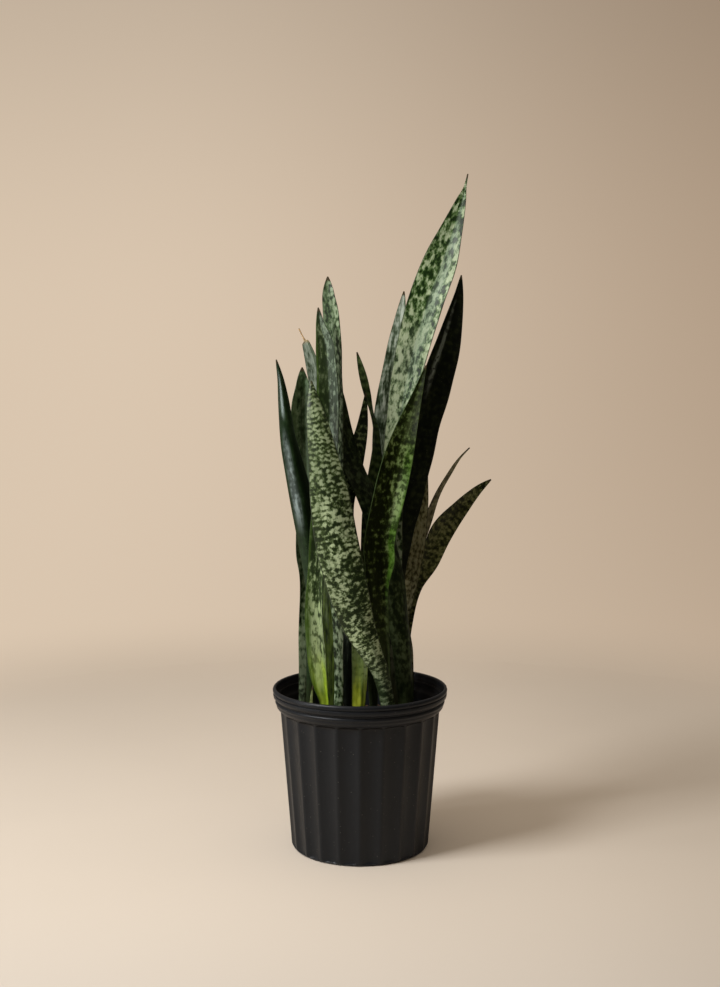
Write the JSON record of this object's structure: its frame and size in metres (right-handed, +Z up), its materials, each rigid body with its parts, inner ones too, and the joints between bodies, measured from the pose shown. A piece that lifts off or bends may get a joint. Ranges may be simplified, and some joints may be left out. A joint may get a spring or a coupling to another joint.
{
  "type": "potted plant",
  "caption": "Snake plant with tall, upright, pointed and banded leaves, standing in a black fluted nursery pot filled with potting mix.",
  "frame": {"origin": "centre of the pot's flat underside", "axes": "+Z up along the pot's axis; -Y is the front that the picture shows"},
  "size_m": [0.3255, 0.254, 0.9742],
  "materials": {
    "pot": "satin black, lightly dusty",
    "soil": "loose matt bark and peat mix",
    "leaf_tall": "waxy pale green, mottled",
    "leaf_front_twist": "waxy olive green, banded",
    "leaf_dark": "waxy near-black green",
    "leaf_grey": "waxy grey-green, banded",
    "leaf_curl": "waxy dark green",
    "leaf_short_mid": "waxy mid green, yellow-green foot",
    "leaf_diagonal": "waxy dark green, banded",
    "leaf_left_tall": "waxy green, banded",
    "leaf_left_second": "waxy green, yellow-green foot",
    "leaf_dry_tip": "waxy blue-green with a dry tan tip",
    "leaf_far_left": "glossy dark blue-green",
    "leaf_left_back": "waxy dark green",
    "leaf_broad_front": "waxy pale green with dark zigzag bands",
    "leaf_brown": "waxy brown-green, banded",
    "leaf_right": "waxy dark green, banded",
    "leaf_thin_right": "waxy dull green",
    "leaf_sprout": "young pale green"
  },
  "bodies": {
    "root": {"pot": "pot", "soil": "soil", "leaf_tall": "leaf_tall", "leaf_front_twist": "leaf_front_twist", "leaf_dark": "leaf_dark", "leaf_grey": "leaf_grey", "leaf_curl": "leaf_curl", "leaf_short_mid": "leaf_short_mid", "leaf_diagonal": "leaf_diagonal", "leaf_left_tall": "leaf_left_tall", "leaf_left_second": "leaf_left_second", "leaf_dry_tip": "leaf_dry_tip", "leaf_far_left": "leaf_far_left", "leaf_left_back": "leaf_left_back", "leaf_broad_front": "leaf_broad_front", "leaf_brown": "leaf_brown", "leaf_right": "leaf_right", "leaf_thin_right": "leaf_thin_right", "leaf_sprout": "leaf_sprout"}
  },
  "joints": []
}
